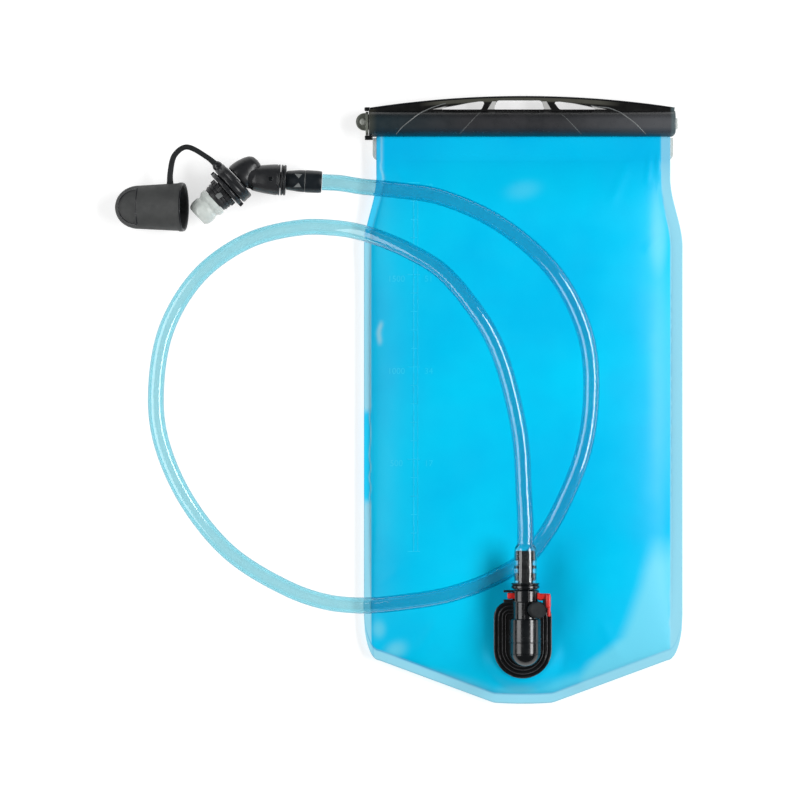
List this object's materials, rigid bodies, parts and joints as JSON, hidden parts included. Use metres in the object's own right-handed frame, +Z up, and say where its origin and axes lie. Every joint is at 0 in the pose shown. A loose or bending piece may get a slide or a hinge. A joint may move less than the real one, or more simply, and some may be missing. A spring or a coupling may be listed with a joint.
{
  "type": "hydration bladder",
  "caption": "Film water reservoir with a slide-on closing bar, quick-release outlet, drink tube, swivelling bite valve and tethered cap.",
  "frame": {"origin": "on the floor under the middle of the bag, at the centre of the box of everything but the drink tube and mouthpiece", "axes": "+X along the closing bar, +Y from the outlet towards the closing bar, +Z up from the floor through the bag's front film"},
  "size_m": [0.3268, 0.35, 0.0406],
  "materials": {
    "blue_film": "satin translucent film",
    "clear_plastic": "gloss, clear",
    "clear_blue_tube": "gloss, clear",
    "smoked_plastic": "semi gloss, smoked",
    "black_plastic": "satin",
    "black_rubber": "matte",
    "red_plastic": "gloss",
    "white_plastic": "satin",
    "clear_silicone": "satin, translucent",
    "spring_steel": "bright wire"
  },
  "bodies": {
    "bag": {"front_film": "blue_film", "back_film": "blue_film", "mouth_stiffener": "clear_plastic", "closing_rod": "clear_plastic", "rod_end_stop": "clear_plastic", "port_flange": "black_plastic", "port_housing": "black_plastic", "poppet_spring": "spring_steel", "latch_spring": "spring_steel"},
    "bar": {"slide_bar": "smoked_plastic"},
    "latch": {"latch_yoke": "red_plastic", "thumb_pad": "black_rubber"},
    "poppet": {"shutoff_poppet": "white_plastic", "poppet_seal": "black_rubber"},
    "hose": {"hose_coupling": "black_plastic", "coupling_o_ring": "black_rubber", "drink_tube": "clear_blue_tube", "hose_sleeve": "black_plastic", "swivel_barb": "black_plastic", "swivel_collar": "black_plastic", "swivel_o_ring": "black_rubber"},
    "elbow": {"elbow_body": "black_plastic"},
    "valve": {"valve_body": "black_plastic", "valve_seal": "black_rubber", "retaining_nut": "black_plastic", "bite_valve": "clear_silicone"},
    "tether": {"tether_ring": "black_plastic", "cap_tether": "black_rubber"},
    "cap": {"bite_cap": "black_rubber"}
  },
  "joints": [
    {"name": "bar_slide", "type": "slide", "parent": "bag", "child": "bar", "axis": [1, 0, 0], "range_m": [0, 0.182]},
    {"name": "latch_press", "type": "slide", "parent": "bag", "child": "latch", "axis": [-1, 0, 0], "range_m": [0, 0.002], "stiffness_N_per_m": 400, "springref_m": -0.003, "deforming": ["latch_spring"]},
    {"name": "poppet_slide", "type": "slide", "parent": "bag", "child": "poppet", "axis": [0, -1, 0], "range_m": [0, 0.0025], "stiffness_N_per_m": 300, "springref_m": -0.004, "deforming": ["poppet_spring"]},
    {"name": "hose_unplug", "type": "slide", "parent": "bag", "child": "hose", "axis": [0, 1, 0], "range_m": [0, 0.013], "deforming": ["drink_tube"]},
    {"name": "elbow_swivel", "type": "hinge", "parent": "hose", "child": "elbow", "pos_m": [-0.1139, 0.1252, 0.014], "axis": [-0.9986, 0.0523, 0], "continuous": true},
    {"name": "valve_twist", "type": "hinge", "parent": "elbow", "child": "valve", "pos_m": [-0.1684, 0.1213, 0.014], "axis": [-0.7314, -0.682, 0], "range_deg": [0, 90]},
    {"name": "ring_turn", "type": "hinge", "parent": "elbow", "child": "tether", "pos_m": [-0.1684, 0.1213, 0.014], "axis": [0.7314, 0.682, 0], "range_deg": [0, 120]},
    {"name": "cap_swing", "type": "hinge", "parent": "tether", "child": "cap", "pos_m": [-0.1924, 0.14351, 0.014], "axis": [-0.0733, 0.1967, 0.9777], "range_deg": [0, 43.9], "deforming": ["cap_tether"]}
  ]
}
